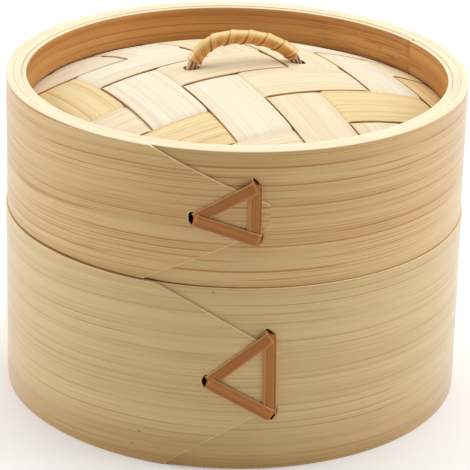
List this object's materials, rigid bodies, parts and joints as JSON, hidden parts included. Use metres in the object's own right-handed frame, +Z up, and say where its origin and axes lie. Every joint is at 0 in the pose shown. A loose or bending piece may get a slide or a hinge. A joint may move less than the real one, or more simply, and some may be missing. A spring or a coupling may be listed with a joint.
{
  "type": "bamboo steamer basket",
  "caption": "Round bamboo steamer tier with a slatted floor, laced strip walls and a domed twill-woven lid carrying a wrapped cane handle.",
  "frame": {"origin": "on the surface the steamer stands on, under the middle of its bounding box; the walls' axis is 1.1 mm behind it, because the laced laps stand proud at the front only", "axes": "+Z up along the lift of the lid, -Y towards the front, where the laced laps are, +X to the right of it"},
  "size_m": [0.15, 0.1522, 0.1186],
  "materials": {
    "bamboo_wall": "satin, fine lengthwise grain",
    "bamboo_hoop": "satin, fine lengthwise grain",
    "bamboo_slat": "satin",
    "bamboo_weave": "satin, pale split bamboo",
    "bamboo_rib": "satin",
    "cane_lacing": "satin, brown bark side of the cane",
    "cane_core": "satin",
    "cane_wrap": "glossy bark side of the cane"
  },
  "bodies": {
    "basket": {"basket_outer_hoop": "bamboo_wall", "basket_inner_hoop": "bamboo_hoop", "basket_floor_ring": "bamboo_hoop", "basket_lacing": "cane_lacing", "slat_1": "bamboo_slat", "slat_2": "bamboo_slat", "slat_3": "bamboo_slat", "slat_4": "bamboo_slat", "slat_5": "bamboo_slat", "slat_6": "bamboo_slat", "slat_7": "bamboo_slat", "slat_8": "bamboo_slat", "slat_9": "bamboo_slat", "batten_left": "bamboo_slat", "batten_right": "bamboo_slat"},
    "lid": {"lid_outer_hoop": "bamboo_wall", "lid_upper_hoop": "bamboo_hoop", "lid_lower_hoop": "bamboo_hoop", "lid_lacing": "cane_lacing", "lid_warp_strip_1": "bamboo_weave", "lid_warp_strip_2": "bamboo_weave", "lid_warp_strip_3": "bamboo_weave", "lid_warp_strip_4": "bamboo_weave", "lid_warp_strip_5": "bamboo_weave", "lid_warp_strip_6": "bamboo_weave", "lid_warp_strip_7": "bamboo_weave", "lid_warp_strip_8": "bamboo_weave", "lid_weft_strip_1": "bamboo_weave", "lid_weft_strip_2": "bamboo_weave", "lid_weft_strip_3": "bamboo_weave", "lid_weft_strip_4": "bamboo_weave", "lid_weft_strip_5": "bamboo_weave", "lid_weft_strip_6": "bamboo_weave", "lid_weft_strip_7": "bamboo_weave", "lid_weft_strip_8": "bamboo_weave", "lid_rib_front": "bamboo_rib", "lid_rib_back": "bamboo_rib", "lid_rib_left": "bamboo_rib", "lid_rib_right": "bamboo_rib"},
    "handle": {"handle_core": "cane_core", "handle_wrap": "cane_wrap"}
  },
  "joints": [
    {"name": "lid_lift", "type": "slide", "parent": "basket", "child": "lid", "axis": [0, 0, 1], "range_m": [0, 0.08]},
    {"name": "handle_lean", "type": "hinge", "parent": "lid", "child": "handle", "pos_m": [0.0024, 0.00477, 0.10185], "axis": [0.9527, 0.304, 0], "range_deg": [-12, 12]}
  ]
}
